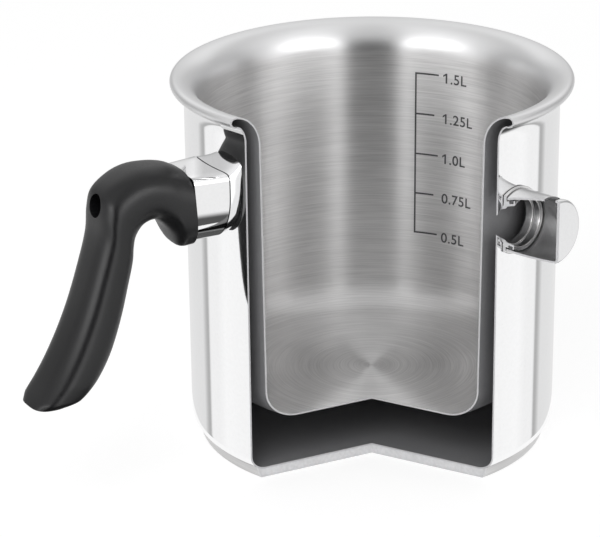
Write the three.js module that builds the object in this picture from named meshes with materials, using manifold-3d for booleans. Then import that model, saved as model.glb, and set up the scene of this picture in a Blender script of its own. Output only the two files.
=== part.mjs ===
// Double-walled milk boiler, shown as a cutaway: a brushed inner pot hangs by its rim in a
// polished outer shell, and water in the gap between them heats the milk without burning it.
// Millimetres, +Z up. The origin is on the pot's axis at the underside of the base.
// The handle points along -X. A wedge is cut out of the wall, pot, base, filler neck and cap.

import * as THREE from 'three';
import { mergeVertices } from 'three/addons/utils/BufferGeometryUtils.js';
import Module from 'manifold-3d';

const wasm = await Module();
wasm.setup();

// Outer shell
const wallRadius = 74.6;
const shellSheet = 0.6;
const shellCornerRadius = 6;
const shellFlareDrop = 8.5;

// Rim
const rimHeight = 151.6;
const rimOverhang = 5.4;
const rimEdgeRadius = 2.15;

// Inner pot
const potSheet = 0.6;
const potCornerRadius = 12;
const potFlareDrop = 12.5;

// Water jacket between pot and shell
const jacketTopGap = 4.8;
const jacketFootGap = 5.7;
const jacketDepth = 19.8;

// Base
const capsuleSheet = 0.6;
const capsuleInset = 2.2;
const capsuleLean = 1.3;
const capsuleRimHeight = 5.2;
const capsuleCornerRadius = 1;
const coreThickness = 3;
const bondGap = 0.05;

// Cutaway wedge
const wedgeMiddleAngle = 237.6;
const wedgeHalfAngle = 62.6;
const wedgeApexRadius = 32.4;
const spoutWedgeHalfAngle = 65;

// Filler neck
const spoutAngle = 284.9;
const spoutDrop = 43.7;
const neckPlay = 0.5;
const neckRingWall = 1.6;
const neckStep = 0.5;
const neckTailWall = 0.9;
const neckTailReach = 1.6;
const neckReach = 4.4;
const flangeLip = 0.7;
const flangeStandOff = 1.1;
const grooveDepth = 0.9;
const grooveLength = 1.6;
const grooveInset = 0.6;

// Steam cap
const capRadius = 12.7;
const capSheet = 0.8;
const capLength = 20.2;
const capEndThickness = 1;
const capEdgeRadius = 1.2;
const slotLength = 4.2;
const slotWidth = 14;
const slotLip = 0.7;

// Handle sleeve
const sleeveDrop = 25.1;
const sleeveHeight = 28.6;
const sleeveRootHalfWidth = 14.3;
const sleeveEndHalfWidth = 12.3;
const sleeveSheet = 1.2;
const sleeveTopLength = 13;
const sleeveUnderLength = 10.8;
const sleeveSection = { widest: 0.3, topPower: 9, underPower: 2.2 };

// Grip
const gripReach = 67.5;
const gripDrop = 91;
const gripCrownRise = 5.3;
const gripHalfWidth = 13;
const noseLength = 5;
const noseOverlap = 3;

// Handle screw, its hole, its washer and its welded stud
const screwDrop = 7.2;
const screwHoleRadius = 4.5;
const screwSeatReach = 11.9;
const shankRadius = 1.9;
const headRadius = 3.7;
const headHeight = 2.9;
const washerRadius = 3.9;
const washerThickness = 1;
const studRadius = 4.6;
const studFootRadius = 5.4;
const studFootThickness = 1.2;
const studBoreDepth = 3.2;

// Clearances and overruns
const fitGap = 0.3;
const threadGap = 0.3;
const overrun = 5;

// Facets
const turnSteps = 72;
const smallTurnSteps = 36;
const arcSteps = 5;
const capsuleArcSteps = 3;
const foldSteps = 4;
const ringSteps = 28;
const gripSteps = 38;

// Heights and radii that follow from the sizes above
const capsuleRimRadius = wallRadius - capsuleInset;
const capsuleFootRadius = capsuleRimRadius - capsuleLean;
const shellUnderside = capsuleSheet + coreThickness + 2 * bondGap;
const cavityRadius = wallRadius - shellSheet;
const potMouthRadius = cavityRadius - jacketTopGap - potSheet;
const potFootRadius = cavityRadius - jacketFootGap - potSheet;
const potFloorHeight = shellUnderside + shellSheet + jacketDepth + potSheet;
const rimRadius = wallRadius + rimOverhang;
const rimEdgeCentreRadius = rimRadius - rimEdgeRadius;
const rimEdgeCentreHeight = rimHeight - rimEdgeRadius;
const shellFlareHeight = rimEdgeCentreHeight - shellFlareDrop;
const potFlareHeight = rimHeight - potFlareDrop;
const spoutHeight = rimHeight - spoutDrop;
const neckRadius = capRadius - capSheet - neckPlay;
const neckBoreRadius = neckRadius - neckRingWall - neckStep;
const flangeRadius = capRadius + flangeLip;
const flangeFace = wallRadius + flangeStandOff;
const capMouth = flangeFace + fitGap;
const capEnd = capMouth + capLength;
const neckMouth = wallRadius + neckReach;
const neckTailRadius = neckBoreRadius + neckTailWall;
const grooveEnd = neckMouth - grooveInset;
const sleeveTopHeight = rimHeight - sleeveDrop;
const sleeveUnderHeight = sleeveTopHeight - sleeveHeight;
const seamTopRadius = wallRadius + sleeveTopLength;
const seamUnderRadius = wallRadius + sleeveUnderLength;
const gripCrownHeight = sleeveTopHeight + gripCrownRise;
const screwHeight = sleeveTopHeight - screwDrop;
const screwSeatRadius = seamTopRadius + screwSeatReach;

// Colours and finishes
const finishes = {
  polishedSteel: { color: 0xe4e6e8, roughness: 0.12, metalness: 1 },
  brushedSteel: { color: 0xb4b5b6, roughness: 0.38, metalness: 1 },
  aluminium: { color: 0xc2c4c6, roughness: 0.45, metalness: 1 },
  zincSteel: { color: 0x9a9da0, roughness: 0.4, metalness: 1 },
  blackPlastic: { color: 0x323237, roughness: 0.55, metalness: 0 },
  silicone: { color: 0x8a8c90, roughness: 0.7, metalness: 0 },
};

const radians = THREE.MathUtils.degToRad;

// Point of an ellipse quarter or any arc, in the plane of radius and height
function arcPoints(centre, acrossRadius, upRadius, fromDegrees, toDegrees, steps) {
  const points = [];
  for (let step = 0; step <= steps; step += 1) {
    const angle = radians(fromDegrees + ((toDegrees - fromDegrees) * step) / steps);
    points.push([
      centre[0] + acrossRadius * Math.cos(angle),
      centre[1] + upRadius * Math.sin(angle),
    ]);
  }
  return points;
}

// Body turned about Z from a profile of [radius, height] points, walked anticlockwise
function turned(profile, steps) {
  const points = profile.map(([radius, height]) => new THREE.Vector2(radius, height));
  const geometry = new THREE.LatheGeometry(points, steps);
  geometry.rotateX(Math.PI / 2);
  return geometry;
}

// Body turned about an axis along +X at a height above the base
function turnedAlongX(profile, steps, axisHeight) {
  const geometry = turned(profile, steps);
  geometry.rotateY(Math.PI / 2);
  geometry.translate(0, 0, axisHeight);
  return geometry;
}

// Closed skin over a row of rings with equally many points
function lofted(rings) {
  const count = rings[0].length;
  const positions = rings.flat().flatMap((point) => [point.x, point.y, point.z]);
  const triangles = [];
  for (let ring = 0; ring + 1 < rings.length; ring += 1) {
    for (let corner = 0; corner < count; corner += 1) {
      const here = ring * count + corner;
      const next = ring * count + ((corner + 1) % count);
      triangles.push(here, next, next + count, here, next + count, here + count);
    }
  }
  const last = (rings.length - 1) * count;
  for (let corner = 1; corner + 1 < count; corner += 1) {
    triangles.push(0, corner + 1, corner);
    triangles.push(last, last + corner, last + corner + 1);
  }
  const geometry = new THREE.BufferGeometry();
  geometry.setAttribute('position', new THREE.Float32BufferAttribute(positions, 3));
  geometry.setIndex(triangles);
  return geometry;
}

// Solid for cutting and joining, from a closed geometry
function solidOf(geometry) {
  const bare = geometry.clone();
  bare.deleteAttribute('normal');
  bare.deleteAttribute('uv');
  const merged = mergeVertices(bare);
  const corners = merged.index.array;
  const kept = [];
  for (let at = 0; at < corners.length; at += 3) {
    const [a, b, c] = corners.slice(at, at + 3);
    if (a !== b && b !== c && c !== a) kept.push(a, b, c);
  }
  return new wasm.Manifold(new wasm.Mesh({
    numProp: 3,
    vertProperties: merged.attributes.position.array,
    triVerts: new Uint32Array(kept),
  }));
}

// Named mesh from a solid
function pieceOf(name, solid, finish) {
  const { vertProperties, triVerts } = solid.getMesh();
  const geometry = new THREE.BufferGeometry();
  geometry.setAttribute('position', new THREE.BufferAttribute(vertProperties, 3));
  geometry.setIndex(new THREE.BufferAttribute(triVerts, 1));
  geometry.computeVertexNormals();
  const mesh = new THREE.Mesh(geometry, new THREE.MeshStandardMaterial(finishes[finish]));
  mesh.name = name;
  return mesh;
}

// Wedge that opens the front, as seen in a group turned about Z by groupAngle degrees
function cutawayWedge(halfAngle, groupAngle) {
  const middle = wedgeMiddleAngle - groupAngle;
  const apex = new THREE.Vector2(wedgeApexRadius, 0);
  apex.rotateAround(new THREE.Vector2(), radians(middle));
  const corners = [apex];
  for (const side of [-1, 1]) {
    const arm = new THREE.Vector2(3 * rimRadius, 0);
    arm.rotateAround(new THREE.Vector2(), radians(middle + side * halfAngle));
    corners.push(arm.add(apex));
  }
  const depth = rimHeight + 2 * overrun;
  const geometry = new THREE.ExtrudeGeometry(new THREE.Shape(corners), { depth, bevelEnabled: false });
  geometry.translate(0, 0, -overrun);
  return solidOf(geometry);
}

// Round bar about Z that stands for the space inside the outer wall
function wallCore(radius) {
  return solidOf(turned([
    [0, -overrun],
    [radius, -overrun],
    [radius, rimHeight],
    [0, rimHeight],
  ], turnSteps));
}

// Round bar along +X at a height, between two radii from the pot's axis
function barAlongX(radius, from, to, height) {
  return solidOf(turnedAlongX([[0, from], [radius, from], [radius, to], [0, to]], smallTurnSteps, height));
}

// Outer wall with its floor, its bottom corner and the flare under the rim
function makeOuterShell() {
  const cornerCentre = [wallRadius - shellCornerRadius, shellUnderside + shellCornerRadius];
  const flareCentre = [rimEdgeCentreRadius - fitGap, shellFlareHeight];
  const flareUp = shellFlareDrop - rimEdgeRadius;
  const flareAcross = flareCentre[0] - wallRadius;
  const innerCorner = shellCornerRadius - shellSheet;
  const profile = [
    [0, shellUnderside],
    ...arcPoints(cornerCentre, shellCornerRadius, shellCornerRadius, -90, 0, arcSteps),
    ...arcPoints(flareCentre, -flareAcross, flareUp, 0, 90, arcSteps),
    ...arcPoints(flareCentre, -(flareAcross + shellSheet), flareUp + shellSheet, 90, 0, arcSteps),
    ...arcPoints(cornerCentre, innerCorner, innerCorner, 0, -90, arcSteps),
    [0, shellUnderside + shellSheet],
  ];
  const hole = barAlongX(neckTailRadius + fitGap, cavityRadius - overrun, wallRadius + overrun, spoutHeight);
  const turnedHole = hole.rotate([0, 0, spoutAngle]);
  const solid = solidOf(turned(profile, turnSteps)).subtract(turnedHole).subtract(cutawayWedge(wedgeHalfAngle, 0));
  return pieceOf('outer_shell', solid, 'polishedSteel');
}

// Inner pot, whose flare folds round the rim's edge and ends against the shell's flare
function makeInnerPot() {
  const cornerCentre = [potFootRadius - potCornerRadius, potFloorHeight + potCornerRadius];
  const outerCorner = potCornerRadius + potSheet;
  const flareCentre = [rimEdgeCentreRadius, potFlareHeight];
  const flareAcross = flareCentre[0] - potMouthRadius;
  const edgeCentre = [rimEdgeCentreRadius, rimEdgeCentreHeight];
  const foldInside = rimEdgeRadius - potSheet;
  const profile = [
    [0, potFloorHeight - potSheet],
    ...arcPoints(cornerCentre, outerCorner, outerCorner, -90, 0, arcSteps),
    ...arcPoints(flareCentre, potSheet - flareAcross, potFlareDrop - potSheet, 0, 90, arcSteps + 2),
    ...arcPoints(edgeCentre, foldInside, foldInside, 90, -90, foldSteps).slice(1),
    ...arcPoints(edgeCentre, rimEdgeRadius, rimEdgeRadius, -90, 90, foldSteps + 2),
    ...arcPoints(flareCentre, -flareAcross, potFlareDrop, 90, 0, arcSteps + 2).slice(1),
    ...arcPoints(cornerCentre, potCornerRadius, potCornerRadius, 0, -90, arcSteps),
    [0, potFloorHeight],
  ];
  const solid = solidOf(turned(profile, turnSteps)).subtract(cutawayWedge(wedgeHalfAngle, 0));
  return pieceOf('inner_pot', solid, 'brushedSteel');
}

// Foot of the outer shell with the bond under it, which the base is fitted to
function shellFoot() {
  const centre = [wallRadius - shellCornerRadius, shellUnderside + shellCornerRadius];
  const radius = shellCornerRadius + bondGap;
  const profile = [
    [0, shellUnderside - bondGap],
    ...arcPoints(centre, radius, radius, -90, 0, arcSteps),
    [0, centre[1]],
  ];
  return solidOf(turned(profile, turnSteps));
}

// Steel capsule with its turned-up edge, which the pot stands on
function makeBaseCap() {
  const cornerCentre = [capsuleFootRadius - capsuleCornerRadius, capsuleCornerRadius];
  const innerCorner = capsuleCornerRadius - capsuleSheet;
  const profile = [
    [0, 0],
    ...arcPoints(cornerCentre, capsuleCornerRadius, capsuleCornerRadius, -90, 0, capsuleArcSteps),
    [capsuleRimRadius, capsuleRimHeight],
    [capsuleRimRadius - capsuleSheet, capsuleRimHeight],
    ...arcPoints(cornerCentre, innerCorner, innerCorner, 0, -90, capsuleArcSteps),
    [0, capsuleSheet],
  ];
  const solid = solidOf(turned(profile, turnSteps))
    .subtract(shellFoot())
    .subtract(cutawayWedge(wedgeHalfAngle, 0));
  return pieceOf('base_cap', solid, 'brushedSteel');
}

// Aluminium disc that spreads the heat, inside the capsule
function makeBaseCore() {
  const inset = capsuleSheet + bondGap;
  const chamfer = capsuleCornerRadius - capsuleSheet;
  const profile = [
    [0, inset],
    [capsuleFootRadius - inset - chamfer, inset],
    [capsuleFootRadius - inset, inset + chamfer],
    [capsuleRimRadius - inset, capsuleRimHeight],
    [0, capsuleRimHeight],
  ];
  const solid = solidOf(turned(profile, turnSteps))
    .subtract(shellFoot())
    .subtract(cutawayWedge(wedgeHalfAngle, 0));
  return pieceOf('base_core', solid, 'aluminium');
}

// Neck in the outer wall's hole: a flange on the wall, a grooved ring and a tail inside
function makeFillerNeck() {
  const tailStart = cavityRadius - neckTailReach;
  const tail = barAlongX(neckTailRadius, tailStart, wallRadius + flangeStandOff, spoutHeight);
  const flange = barAlongX(flangeRadius, wallRadius - overrun, flangeFace, spoutHeight);
  const ring = barAlongX(neckRadius, wallRadius, neckMouth, spoutHeight);
  const ringBore = barAlongX(neckRadius - neckRingWall, flangeFace, neckMouth + overrun, spoutHeight);
  const bore = barAlongX(neckBoreRadius, wallRadius - 2 * overrun, neckMouth + overrun, spoutHeight);
  const groove = barAlongX(capRadius, grooveEnd - grooveLength, grooveEnd, spoutHeight)
    .subtract(barAlongX(neckRadius - grooveDepth, wallRadius, neckMouth, spoutHeight));
  const solid = flange
    .add(ring)
    .subtract(wallCore(wallRadius + fitGap))
    .add(tail)
    .subtract(bore)
    .subtract(ringBore)
    .subtract(groove)
    .subtract(cutawayWedge(spoutWedgeHalfAngle, spoutAngle));
  return pieceOf('filler_neck', solid, 'polishedSteel');
}

// Drawn cap with a flat end and the steam slot on top, beside the end
function makeSteamCap() {
  const inside = capRadius - capSheet;
  const endInside = capEnd - capEndThickness;
  const edgeCentre = [capRadius - capEdgeRadius, capEnd - capEdgeRadius];
  const profile = [
    [0, endInside],
    [inside, endInside],
    [inside, capMouth],
    [capRadius, capMouth],
    ...arcPoints(edgeCentre, capEdgeRadius, capEdgeRadius, 0, 90, arcSteps),
    [0, capEnd],
  ];
  const slotDepth = capRadius - Math.sqrt(inside * inside - (slotWidth * slotWidth) / 4) + slotLip;
  const slot = new THREE.BoxGeometry(slotLength, slotWidth, slotDepth + overrun);
  const slotMiddle = endInside - slotLip - slotLength / 2;
  slot.translate(slotMiddle, 0, spoutHeight + capRadius + (overrun - slotDepth) / 2);
  const solid = solidOf(turnedAlongX(profile, smallTurnSteps, spoutHeight))
    .subtract(solidOf(slot))
    .subtract(cutawayWedge(spoutWedgeHalfAngle, spoutAngle));
  return pieceOf('steam_cap', solid, 'polishedSteel');
}

// Silicone ring in the neck's groove, which holds the cap and keeps the steam in
function makeNeckSeal() {
  const grooveFloor = neckRadius - grooveDepth;
  const capInside = capRadius - capSheet;
  const radius = (capInside - grooveFloor) / 2 - bondGap;
  const centre = [(capInside + grooveFloor) / 2, grooveEnd - grooveLength / 2];
  const profile = arcPoints(centre, radius, radius, 0, 360, 2 * arcSteps);
  const solid = solidOf(turnedAlongX(profile, smallTurnSteps, spoutHeight))
    .subtract(cutawayWedge(spoutWedgeHalfAngle, spoutAngle));
  return pieceOf('neck_seal', solid, 'silicone');
}

// Ring of points round a section: top and under are points in the plane y = 0, and widest
// is the share of the way down at which the section is widest
function sectionRing(top, under, halfWidth, { widest, topPower, underPower }) {
  const middle = top.clone().lerp(under, widest);
  const ring = [];
  for (let step = 0; step < ringSteps; step += 1) {
    const angle = (2 * Math.PI * step) / ringSteps;
    const upper = step * 2 <= ringSteps;
    const power = 2 / (upper ? topPower : underPower);
    const end = upper ? top : under;
    const across = Math.sign(Math.cos(angle)) * Math.abs(Math.cos(angle)) ** power;
    const point = middle.clone().lerp(end, Math.abs(Math.sin(angle)) ** power);
    point.y = across * halfWidth;
    ring.push(point);
  }
  return ring;
}

// Point in the handle's middle plane, by distance from the pot's axis and height
function handlePoint(radius, height) {
  return new THREE.Vector3(radius, 0, height);
}

// Distance of the seam between sleeve and grip from the pot's axis, at a height
function seamRadius(height) {
  const share = (height - sleeveUnderHeight) / (sleeveTopHeight - sleeveUnderHeight);
  return seamUnderRadius + (seamTopRadius - seamUnderRadius) * share;
}

// Half width of the sleeve at a distance from the pot's axis
function sleeveHalfWidth(radius) {
  const share = (radius - wallRadius) / (seamTopRadius - wallRadius);
  return sleeveRootHalfWidth + (sleeveEndHalfWidth - sleeveRootHalfWidth) * share;
}

// Straight prism of the sleeve's section, drawn in by inset on every side
function sleevePrism(from, to, inset) {
  const top = sleeveTopHeight - inset;
  const under = sleeveUnderHeight + inset;
  const rings = [from, to].map((radiusAt) => sectionRing(
    handlePoint(radiusAt(top), top),
    handlePoint(radiusAt(under), under),
    sleeveHalfWidth(radiusAt(top)) - inset,
    sleeveSection,
  ));
  return solidOf(lofted(rings));
}

// Polished sleeve that spaces the grip from the hot wall
function makeHandleSleeve() {
  const root = () => wallRadius - overrun;
  const beyondRoot = () => wallRadius - 2 * overrun;
  const beyondSeam = (height) => seamRadius(height) + overrun;
  const solid = sleevePrism(root, seamRadius, 0)
    .subtract(sleevePrism(beyondRoot, beyondSeam, sleeveSheet))
    .subtract(wallCore(wallRadius + fitGap));
  return pieceOf('handle_sleeve', solid, 'polishedSteel');
}

// Outline of the grip: top or outer line and under or inner line, as shares of the grip's
// reach from the seam and of its drop from the crown, with the width share at each pair
const gripOutlineShares = [
  { top: [0.003, 0.04], under: [-0.028, 0.38], width: 1.03 },
  { top: [0.068, 0.016], under: [0.043, 0.377], width: 1.02 },
  { top: [0.157, 0.002], under: [0.111, 0.286], width: 1 },
  { top: [0.29, 0], under: [0.201, 0.231], width: 0.98 },
  { top: [0.399, 0.024], under: [0.283, 0.244], width: 0.96 },
  { top: [0.505, 0.081], under: [0.327, 0.288], width: 0.94 },
  { top: [0.535, 0.152], under: [0.341, 0.333], width: 0.93 },
  { top: [0.55, 0.256], under: [0.348, 0.388], width: 0.92 },
  { top: [0.612, 0.409], under: [0.382, 0.49], width: 0.92 },
  { top: [0.701, 0.587], under: [0.436, 0.633], width: 0.94 },
  { top: [0.804, 0.743], under: [0.513, 0.78], width: 0.96 },
  { top: [0.905, 0.863], under: [0.6, 0.881], width: 0.96 },
  { top: [0.982, 0.934], under: [0.692, 0.945], width: 0.9 },
  { top: [1.004, 0.96], under: [0.787, 0.968], width: 0.7 },
];
const gripSection = { widest: 0.5, topPower: 3, underPower: 2.5 };

// Smooth curve through one line of the grip's outline
function gripLine(side) {
  const points = gripOutlineShares.map((pair) => handlePoint(
    seamTopRadius + fitGap + pair[side][0] * gripReach,
    gripCrownHeight - pair[side][1] * gripDrop,
  ));
  return new THREE.CatmullRomCurve3(points, false, 'centripetal');
}

// Half width of the grip at a share of its length
function gripHalfWidthAt(share) {
  const place = share * (gripOutlineShares.length - 1);
  const before = Math.min(Math.floor(place), gripOutlineShares.length - 2);
  const from = gripOutlineShares[before].width;
  const to = gripOutlineShares[before + 1].width;
  return gripHalfWidth * (from + (to - from) * (place - before));
}

// Heat-proof grip: collar, arch and drooping hand part, with the nose that plugs into the sleeve
function makeGrip() {
  const topLine = gripLine('top');
  const underLine = gripLine('under');
  const rings = [];
  for (let step = 0; step <= gripSteps; step += 1) {
    const share = step / gripSteps;
    rings.push(sectionRing(
      topLine.getPoint(share),
      underLine.getPoint(share),
      gripHalfWidthAt(share),
      gripSection,
    ));
  }
  const noseStart = (height) => seamRadius(height) - noseLength;
  const noseEnd = (height) => seamRadius(height) + noseOverlap;
  const nose = sleevePrism(noseStart, noseEnd, sleeveSheet + fitGap);
  const farEnd = seamTopRadius + gripReach;
  const screwHole = barAlongX(screwHoleRadius, screwSeatRadius, farEnd, screwHeight);
  const shankHole = barAlongX(shankRadius + fitGap, wallRadius, farEnd, screwHeight);
  const solid = solidOf(lofted(rings)).add(nose).subtract(screwHole).subtract(shankHole);
  return pieceOf('grip', solid, 'blackPlastic');
}

// Threaded boss welded to the wall, which the screw is driven into
function makeWeldStud() {
  const mouth = seamRadius(screwHeight - studRadius) - noseLength - fitGap;
  const foot = barAlongX(studFootRadius, wallRadius - overrun, wallRadius + studFootThickness, screwHeight);
  const boss = barAlongX(studRadius, wallRadius - overrun, mouth, screwHeight);
  const bore = barAlongX(shankRadius + threadGap, mouth - studBoreDepth, mouth + overrun, screwHeight);
  const solid = boss.add(foot).subtract(bore).subtract(wallCore(wallRadius + fitGap));
  return pieceOf('weld_stud', solid, 'zincSteel');
}

// Long screw from the bottom of the grip's hole into the stud
function makeHandleScrew() {
  const headSeat = screwSeatRadius + 2 * bondGap + washerThickness;
  const tip = seamRadius(screwHeight) - noseLength - studBoreDepth;
  const head = barAlongX(headRadius, headSeat, headSeat + headHeight, screwHeight);
  const solid = head.add(barAlongX(shankRadius, tip, headSeat + headHeight / 2, screwHeight));
  return pieceOf('handle_screw', solid, 'zincSteel');
}

// Washer under the screw's head
function makeSpringWasher() {
  const start = screwSeatRadius + bondGap;
  const ring = barAlongX(washerRadius, start, start + washerThickness, screwHeight);
  const hole = barAlongX(shankRadius + fitGap, start - overrun, start + overrun, screwHeight);
  return pieceOf('spring_washer', ring.subtract(hole), 'zincSteel');
}

const body = new THREE.Group();
body.add(makeOuterShell(), makeInnerPot(), makeBaseCap(), makeBaseCore());

const spout = new THREE.Group();
spout.rotation.z = radians(spoutAngle);
spout.add(makeFillerNeck(), makeSteamCap(), makeNeckSeal());

const handle = new THREE.Group();
handle.rotation.z = Math.PI;
handle.add(makeHandleSleeve(), makeGrip(), makeWeldStud(), makeHandleScrew(), makeSpringWasher());

const milkBoiler = new THREE.Group();
milkBoiler.add(body, spout, handle);

export default milkBoiler;
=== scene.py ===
"""Milk boiler shown as a cutaway: its visible pieces, their finishes, the stage and the camera."""

from collections import namedtuple
from math import cos, pi, radians, sin, sqrt

import bpy
from bpy.props import FloatProperty, FloatVectorProperty, PointerProperty
from mathutils import Matrix, Vector


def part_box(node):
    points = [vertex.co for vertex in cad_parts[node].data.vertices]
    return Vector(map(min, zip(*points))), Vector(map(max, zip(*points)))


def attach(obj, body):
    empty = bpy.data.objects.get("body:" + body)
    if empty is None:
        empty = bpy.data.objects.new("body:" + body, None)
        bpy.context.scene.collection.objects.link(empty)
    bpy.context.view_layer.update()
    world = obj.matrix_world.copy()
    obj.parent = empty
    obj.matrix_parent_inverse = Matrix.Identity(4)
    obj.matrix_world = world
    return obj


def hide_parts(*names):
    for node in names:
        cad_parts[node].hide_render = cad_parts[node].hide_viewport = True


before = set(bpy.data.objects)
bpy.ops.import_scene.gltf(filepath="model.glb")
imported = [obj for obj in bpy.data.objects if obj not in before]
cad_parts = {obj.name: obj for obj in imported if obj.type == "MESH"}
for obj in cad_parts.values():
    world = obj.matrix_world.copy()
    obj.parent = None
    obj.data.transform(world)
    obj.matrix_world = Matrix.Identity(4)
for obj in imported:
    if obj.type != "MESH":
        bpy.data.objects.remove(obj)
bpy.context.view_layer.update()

bl_info = {
    "name": "Milk Boiler",
    "version": (1, 0, 0),
    "blender": (4, 5, 0),
    "location": "3D View > Sidebar > Milk Boiler",
    "description": "Models a double-walled milk boiler with a cutaway front",
    "category": "Add Mesh",
}

MM = 0.001
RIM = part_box("inner_pot")[1]
ORIGIN = Vector((0, 0, 0))
ALONG_X = Vector((1, 0, 0))
ALONG_Y = Vector((0, 1, 0))
UP = Vector((0, 0, 1))

# Steps of the turned pieces, and of the arcs in their profiles.
WALL_STEPS = 288
SPOUT_STEPS = 144
HOLE_STEPS = 96
HANDLE_STEPS = 64
HEXAGON = 6
FLARE_STEPS = 28
SEAL_STEPS = 24
CORNER_STEPS = 20
FOLD_STEPS = 16
CAP_EDGE_STEPS = 12
CAPSULE_STEPS = 10
DOME_STEPS = 8
SOFT_STEPS = 5
# Points round the sections, and steps along the grip.
SLEEVE_POINTS = 160
NOSE_POINTS = 96
GRIP_POINTS = 64
GRIP_STEPS = 78
# Degrees between faces above which their edge stays sharp.
FLAT_EDGE = 30
GRIP_FLAT_EDGE = 40
# Points closer than this are merged.
WELD = 0.002 * MM
# A row this far from each curve keeps the shading of the straight wall flat.
SUPPORT = 0.8 * MM
# What stands on the wall starts this deep in it, and the wall's round is then cut out of it.
BURIED = 5 * MM

# Sections are (height of the widest place, power of the upper half, power of the lower half).
SLEEVE_SECTION = (0.4, 9, 2.2)
GRIP_SECTION = (0, 3, 2.5)
# Rows of (upper edge, lower edge, width), with edges as shares of the grip's reach and drop.
GRIP_OUTLINE = (
    ((0.003, 0.04), (-0.028, 0.38), 1.03),
    ((0.068, 0.016), (0.043, 0.377), 1.02),
    ((0.157, 0.002), (0.111, 0.286), 1),
    ((0.29, 0), (0.201, 0.231), 0.98),
    ((0.399, 0.024), (0.283, 0.244), 0.96),
    ((0.505, 0.081), (0.327, 0.288), 0.94),
    ((0.535, 0.152), (0.341, 0.333), 0.93),
    ((0.55, 0.256), (0.348, 0.388), 0.92),
    ((0.612, 0.409), (0.382, 0.49), 0.92),
    ((0.701, 0.587), (0.436, 0.633), 0.94),
    ((0.804, 0.743), (0.513, 0.78), 0.96),
    ((0.905, 0.863), (0.6, 0.881), 0.96),
    ((0.982, 0.934), (0.692, 0.945), 0.9),
    ((1.004, 0.96), (0.787, 0.968), 0.7),
)
VOLUME_LABELS = ("1.5L", "1.25L", "1.0L", "0.75L", "0.5L")
# Grid cells along the scale's lines, which let them bend with the wall.
UPRIGHT_CELLS = 40
TICK_CELLS = 16
INK_LIFT = 0.05 * MM

# Grey levels of the reflected room, as (degrees off the camera's direction, level).
LOW_BANDS = ((0, 0.05), (17, 0.05), (21, 2), (34, 2.2), (42, 0.9), (104, 1), (112, 0.93), (122, 0.93),
             (124, 0.42), (127, 0.5), (132, 0.78), (180, 0.82))
HIGH_BANDS = ((0, 0), (17, 0), (22, 2.6), (34, 4.8), (54, 4.8), (70, 1.1), (100, 0.4), (150, 0.5), (180, 0.6))
TOP_BANDS = ((0, 0.75), (17, 0.75), (30, 1), (60, 1), (85, 0.95), (105, 0.72), (125, 0.72), (142, 1.1),
             (180, 0.85))

# Changes between the bands and at the room's floor, by the height of the reflected direction.
LOW_TO_HIGH = (-0.2, 0.05)
HIGH_TO_TOP = (0.1, 0.45)
FLOOR_FADE = (-0.72, -0.58)
FLOOR_LEVEL = 0.1
LAMP_PLACE = Vector((-0.9, -0.5, 1.1))
LAMP_AIM = Vector((0, 0, 0.08))
LAMP_SIZE = 0.9

# Layers of brush lines, as (scale round the pot, scale across the lines, weight).
BRUSH_LAYERS = ((60, 3200, 0.45), (40, 1500, 0.35), (25, 700, 0.2))
BRUSH_BUMP = 0.02 * MM
GRAIN_SCALE = 1400
GRAIN_BUMP = 0.06 * MM
# Values of a noise that are spread over a finish's whole range of roughness or tint.
MASK_SPREAD = (0.3, 0.7)
TINT_SPREAD = (0.32, 0.68)
MASK_SHARE, CLOUD_SHARE = 0.7, 0.3
# rings stretches the highlights across brush lines that run round the pot.
Finish = namedtuple("Finish", "tint pattern fineness depth rough rough_range tint_range sockets rings",
                    defaults=(False,))
FINISHES = {
    "mirror_steel": Finish("polished", "grain", 0.5, 0.01, 0.045, 0.012, 0.015, {"Metallic": 1}),
    "ring_brushed_steel": Finish("brushed", "brush", 1, 0.9, 0.42, 0.05, 0.24,
                                 {"Metallic": 1, "Anisotropic Rotation": 0.25}, True),
    "drawn_steel": Finish("drawn", "grain", 0.6, 0.02, 0.1, 0.02, 0.02, {"Metallic": 1}),
    "drawn_inside": Finish("drawn_inside", "brush", 0.7, 0.5, 0.34, 0.05, 0.1,
                           {"Metallic": 0.85, "Anisotropic": 0.4}),
    "satin_steel": Finish("brushed", "grain", 1, 0.1, 0.22, 0.05, 0.06, {"Metallic": 1}),
    "dull_steel": Finish("dull", "grain", 1, 0.15, 0.42, 0.06, 0.06, {"Metallic": 0.3}),
    "zinc_steel": Finish("dull", "grain", 1, 0.2, 0.35, 0.06, 0.1, {"Metallic": 1}),
    "cut_steel": Finish("cut", "grain", 0.7, 0.2, 0.35, 0.06, 0.06, {"Metallic": 0.6}),
    "plain_aluminium": Finish("aluminium", "grain", 0.6, 0.4, 0.45, 0.07, 0.1, {"Metallic": 0.8}),
    "moulded_plastic": Finish("plastic", "grain", 1.2, 0.35, 0.36, 0.05, 0.3, {"Specular IOR Level": 0.4}),
    "grey_silicone": Finish("silicone", "grain", 0.5, 0.2, 0.6, 0.05, 0.1, {}),
    "scale_ink": Finish("ink", "grain", 1, 0.2, 0.55, 0.05, 0.2, {}),
}


def length(name, millimetres, description):
    """Size property, given in millimetres."""
    return FloatProperty(name=name, description=description, default=millimetres * MM, unit="LENGTH")


def angle(name, degrees, description):
    """Angle property, given in degrees."""
    return FloatProperty(name=name, description=description, default=radians(degrees), subtype="ANGLE")


def colour(name, red, green, blue, description):
    """Colour property, in linear light."""
    return FloatVectorProperty(
        name=name, description=description, default=(red, green, blue, 1), size=4, min=0, max=1,
        subtype="COLOR")


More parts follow.
